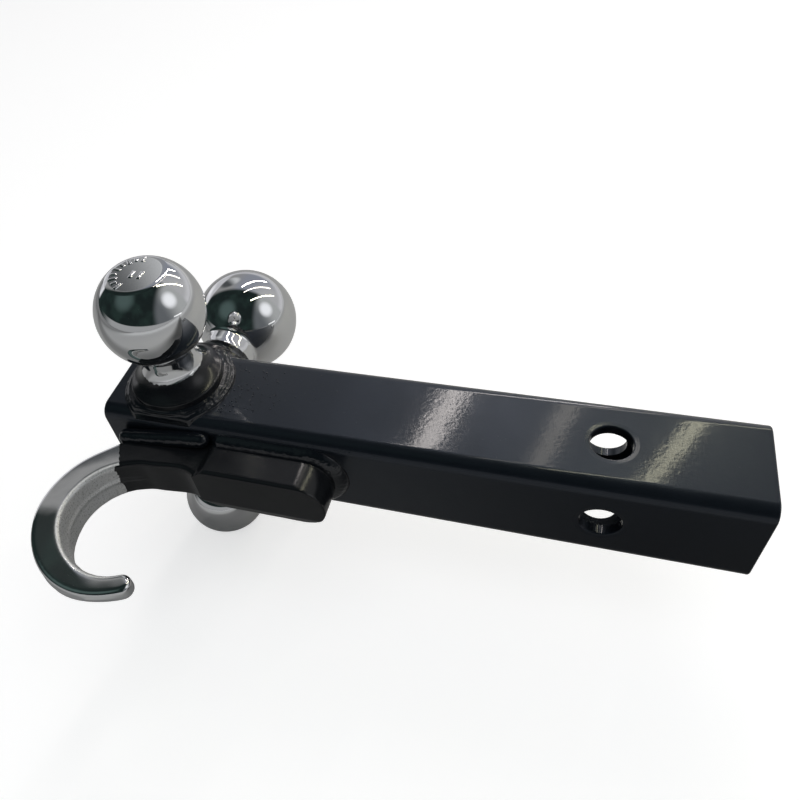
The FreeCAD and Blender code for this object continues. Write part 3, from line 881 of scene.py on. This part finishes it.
def forging(name):
    """Chrome plate above the enamel's edge and enamel below it.

    The plate is satin on the as-forged inner face, and a paler, less metallic band along its edge is a
    painted highlight."""
    g = Graph(name)
    line = g.attribute("plate_line")
    satin = g.attribute("satin")
    ragged = g.maths("ADD", line, g.span(g.noise(700.0, 4.0), 0.25, 0.75, -0.45, 0.45))
    plated = g.span(ragged, -0.06, 0.06, 0.0, 1.0)
    smudge = g.noise(55.0, 5.0, 0.6)
    pitted = g.noise(1300.0, 6.0, 0.75)
    chrome = g.mix(smudge, (0.74, 0.75, 0.76, 1), (0.82, 0.825, 0.83, 1))
    chrome = g.mix(g.maths("MULTIPLY", satin, g.span(pitted, 0.35, 0.6, 0.8, 0.35)), chrome,
                   (0.47, 0.47, 0.46, 1))
    # painted highlight: a paler, less metallic band along the hook's inner upper edge, mottled by the pits
    edge_highlight = g.maths("MULTIPLY", g.attribute("painted_edge_highlight"), g.span(pitted, 0.3, 0.55, 0.55, 1.0))
    chrome = g.mix(edge_highlight, chrome, (0.86, 0.86, 0.85, 1))
    black = g.mix(g.noise(28.0, 4.0), (0.0045, 0.0052, 0.0062, 1), (0.0075, 0.0085, 0.0105, 1))
    polished = g.span(smudge, 0.35, 0.75, 0.025, 0.085)
    chrome_rough = g.blend(satin, polished, g.span(pitted, 0.3, 0.7, 0.24, 0.42))
    paint_rough = g.span(g.noise(28.0, 4.0), 0.3, 0.7, 0.13, 0.22)
    g.put(g.shader.inputs["Base Color"], g.mix(plated, black, chrome))
    dull = g.maths("ADD", g.maths("MULTIPLY", satin, 0.4), g.maths("MULTIPLY", edge_highlight, 0.55))
    g.put(g.shader.inputs["Metallic"], g.maths("MULTIPLY", plated, g.maths("SUBTRACT", 1.0, dull)))
    g.put(g.shader.inputs["Roughness"], g.blend(plated, paint_rough, chrome_rough))
    unplated = g.maths("SUBTRACT", 1.0, plated)
    film = g.bump(unplated, 0.6, 0.00012)
    peel = g.bump(g.noise(620.0, 2.0), g.maths("MULTIPLY", unplated, 0.10), 0.00009, film)
    grain = g.bump(pitted, g.maths("MULTIPLY", satin, 0.28), 0.0003, peel)
    g.put(g.shader.inputs["Normal"], g.bump(g.noise(70.0, 2.0), 0.05, 0.0006, grain))
    g.put(g.shader.inputs["IOR"], 1.45)
    return g.material


def pale_floor():
    """Matt white sweep that the object is photographed on."""
    g = Graph("floor_paper")
    seen = g.node("ShaderNodeLightPath").outputs["Is Camera Ray"]
    paper = g.mix(g.noise(1.5), (0.62, 0.622, 0.625, 1), (0.64, 0.642, 0.645, 1))
    split = g.node("ShaderNodeSeparateXYZ")
    g.put(split.inputs[0], g.place)
    x = split.outputs["X"]
    y = split.outputs["Y"]
    # as a reflection: shaded along the front of the tube, lit behind it, fading out to the left
    shade = g.span(x, -0.15, 0.05, 0.30, 0.10)
    front = g.blend(g.span(g.maths("MULTIPLY", y, -1.0), 0.11, 0.26, 0.0, 1.0), shade, 0.58)
    whole = g.blend(g.span(y, -0.06, 0.02, 0.0, 1.0), front, 0.50)
    left = g.span(x, -1.5, -0.7, 0.40, 1.0)
    g.put(g.shader.inputs["Base Color"], g.mix(seen, g.maths("MULTIPLY", whole, left), paper))
    # it glows evenly to the camera, and only in the distance as a reflection
    away = g.node("ShaderNodeVectorMath", operation="LENGTH")
    g.put(away.inputs[0], g.place)
    distant = g.maths("MULTIPLY", g.span(away.outputs["Value"], 0.7, 2.6, 0.0, 0.36), left)
    g.put(g.shader.inputs["Emission Color"], (1, 1, 1, 1))
    g.put(g.shader.inputs["Emission Strength"], g.blend(seen, distant, 0.60))
    g.put(g.shader.inputs["Roughness"], 0.9)
    return g.material


# ---------------------------------------------------------------- studio

def studio():
    """Floor, room and lamps."""
    place = (0, 0, CAD_BOX[0].z - FLOOR_GAP)
    bpy.ops.mesh.primitive_grid_add(x_subdivisions=8, y_subdivisions=8, size=FLOOR_SIZE, location=place)
    floor = bpy.context.object
    floor.name = "floor"
    floor.data.materials.append(pale_floor())
    surroundings()
    # soft lamps: place, aim, size, power and colour
    lamp("key", (0.3, -0.5, 2.2), (0, 0, 0), (2.4, 2.4), 26, (1, 1, 1), glossy=False)
    lamp("fill", (-1.6, -1.2, 1.3), (-0.1, 0, 0), (1.4, 1.4), 3, (1, 1, 1), glossy=False)
    for index, (start, finish, width, radiance, colour) in enumerate(BARS):
        bar_lamp("bar_%d" % index, Vector(start), Vector(finish), width, radiance, colour)


def surroundings():
    """Room seen in the plating: dark towards the camera, pale to the back and the right."""
    world = bpy.data.worlds.new("studio")
    world.use_nodes = True
    bpy.context.scene.world = world
    tree = world.node_tree
    background = tree.nodes["Background"]
    direction = tree.nodes.new("ShaderNodeTexCoord").outputs["Generated"]
    clouds = tree.nodes.new("ShaderNodeTexNoise")
    clouds.inputs["Scale"].default_value = 2.2
    clouds.inputs["Detail"].default_value = 2.0
    tree.links.new(direction, clouds.inputs["Vector"])

    def along(*axis):
        """How far a direction points along an axis."""
        made = tree.nodes.new("ShaderNodeVectorMath")
        made.operation = "DOT_PRODUCT"
        made.inputs[1].default_value = axis
        tree.links.new(direction, made.inputs[0])
        return made.outputs["Value"]

    def region(socket, low_edge, high_edge):
        """0 below the low edge and 1 past the high one, smooth between them."""
        made = tree.nodes.new("ShaderNodeMapRange")
        made.interpolation_type = "SMOOTHSTEP"
        tree.links.new(socket, made.inputs["Value"])
        made.inputs["From Min"].default_value = low_edge
        made.inputs["From Max"].default_value = high_edge
        return made.outputs["Result"]

    def over(share, below, above):
        """Lays one colour over another."""
        made = tree.nodes.new("ShaderNodeMix")
        made.data_type = "RGBA"
        tree.links.new(share, made.inputs["Factor"])
        for index, value in ((6, below), (7, above)):
            if isinstance(value, bpy.types.NodeSocket):
                tree.links.new(value, made.inputs[index])
            else:
                made.inputs[index].default_value = value
        return made.outputs[2]

    # dark side, with a faint spot high at the left
    patches = region(clouds.outputs["Fac"], 0.40, 0.70)
    dark = over(patches, (0.012, 0.018, 0.018, 1), (0.020, 0.034, 0.031, 1))
    dark = over(region(along(-0.42, -0.45, 0.79), 0.90, 1.0), dark, (0.075, 0.11, 0.105, 1))
    # right wall and back; the back has a patch that goes from dark to pale, and a pale low band
    wall = over(region(along(0.30, 0.95, 0), -0.15, 0.50), (0.13, 0.14, 0.15, 1), (0.42, 0.43, 0.43, 1))
    back = over(region(along(1, 0, 0), -0.55, -0.15), (0.30, 0.30, 0.30, 1), (0.27, 0.285, 0.33, 1))
    back = over(region(along(1, 0, 0), 0.0, 0.55), back, (0.46, 0.46, 0.47, 1))
    slope = over(region(along(0.72, 0.70, 0), -0.04, 0.20), (0.08, 0.085, 0.09, 1), (0.60, 0.61, 0.62, 1))
    back = over(region(along(-0.555, 0.62, 0.55), 0.955, 0.985), back, slope)
    back = over(region(along(0, 0, -1), -0.24, -0.04), back, (0.60, 0.60, 0.62, 1))
    # put together, with a bright corner at the back left and a window high at the right
    corner = over(patches, (0.55, 0.55, 0.58, 1), (1.0, 1.0, 1.03, 1))
    room = over(region(along(1, 0.15, 0), 0.44, 0.66), dark, wall)
    room = over(region(along(-0.12, 1, 0), 0.315, 0.47), room, back)
    room = over(region(along(-0.84, 0.54, 0), 0.89, 0.93), room, corner)
    room = over(region(along(0.84, 0.07, 0.54), 0.945, 0.999), room, (1.0, 1.01, 1.04, 1))
    # below the horizon a grey table, dark at the far left
    table = over(region(along(1, -0.3, 0), -0.95, -0.55), dark, (0.36, 0.365, 0.37, 1))
    room = over(region(along(-0.035, -0.177, -0.982), -0.03, -0.01), room, table)
    # the camera itself sees a pale backdrop
    seen = tree.nodes.new("ShaderNodeLightPath").outputs["Is Camera Ray"]
    tree.links.new(over(seen, room, (0.93, 0.93, 0.93, 1)), background.inputs["Color"])


def lamp(name, place, aim, size, power, colour, glossy=True):
    """Rectangular soft lamp that looks at aim."""
    data = bpy.data.lights.new(name, "AREA")
    data.shape = "RECTANGLE"
    data.size, data.size_y = size
    data.energy = power
    data.color = colour
    made = bpy.data.objects.new(name, data)
    bpy.context.scene.collection.objects.link(made)
    made.location = place
    made.rotation_mode = "QUATERNION"
    made.rotation_quaternion = (Vector(aim) - Vector(place)).to_track_quat("-Z", "Y")
    made.visible_glossy = glossy
    made.visible_camera = False
    return made


def bar_lamp(name, start, finish, width, radiance, colour):
    """Long thin lamp between two places, which faces the tube's upper side."""
    middle = (start + finish) / 2
    length = (finish - start).length
    power = radiance * math.pi * length * width
    made = lamp(name, middle, BAR_AIM, (length, width), power, colour)
    along = (finish - start).normalized()
    away = middle - BAR_AIM
    back = (away - along * away.dot(along)).normalized()
    made.rotation_quaternion = Matrix((along, back.cross(along), back)).transposed().to_quaternion()
    return made


def camera():
    """View from above the hook's side, as in the reference."""
    data = bpy.data.cameras.new("camera")
    data.sensor_width = 36.0
    data.lens = CAMERA_LENS
    data.shift_x = CAMERA_SHIFT_X
    data.clip_start = 0.01
    made = bpy.data.objects.new("camera", data)
    bpy.context.scene.collection.objects.link(made)
    tilt, roll, turn = (math.radians(angle) for angle in CAMERA_TURN_DEG)
    looking = Matrix.Rotation(turn, 4, "Z") @ Matrix.Rotation(tilt, 4, "X") @ Matrix.Rotation(roll, 4, "Z")
    made.matrix_world = Matrix.Translation(CAMERA_PLACE) @ looking
    bpy.context.scene.camera = made


# ---------------------------------------------------------------- assembly

def dress(piece, material):
    """Gives a piece its only material."""
    piece.data.materials.clear()
    piece.data.materials.append(material)


paint = enamel("black_enamel_gloss", peel=0.21, coarse=0.0, gloss=0.08, haze_ior=1.46, skin_ior=1.29)
weld_paint = enamel("black_enamel_on_weld", peel=0.22, coarse=0.16, gloss=0.03, haze_ior=1.12,
                    skin_ior=1.55)
plated = forging("forging_part_plated")

dress(tube_shell(), paint)
dress(end_plate_piece(), weld_paint)
dress(end_plate_bead(), weld_paint)
for ball_node in BALLS:
    dress(ball_piece(ball_node), plated)
    dress(ball_marks(ball_node), plated)
dress(ring_bead("ball_2in", roughness=0.30, patch=3.4), weld_paint)
dress(ring_bead("ball_2_5_16in", roughness=2.8, patch=0.0), weld_paint)
dress(ring_bead("ball_1_7_8in", roughness=0.6, patch=0.9), weld_paint)
for bead in pad_beads():
    dress(bead, weld_paint)
dress(neck_bead("upper", 1), weld_paint)
dress(neck_bead("lower", -1), weld_paint)
dress(hook_forging(), plated)
dress(spatter(), paint)
studio()
camera()
bpy.context.scene.view_settings.view_transform = "Standard"
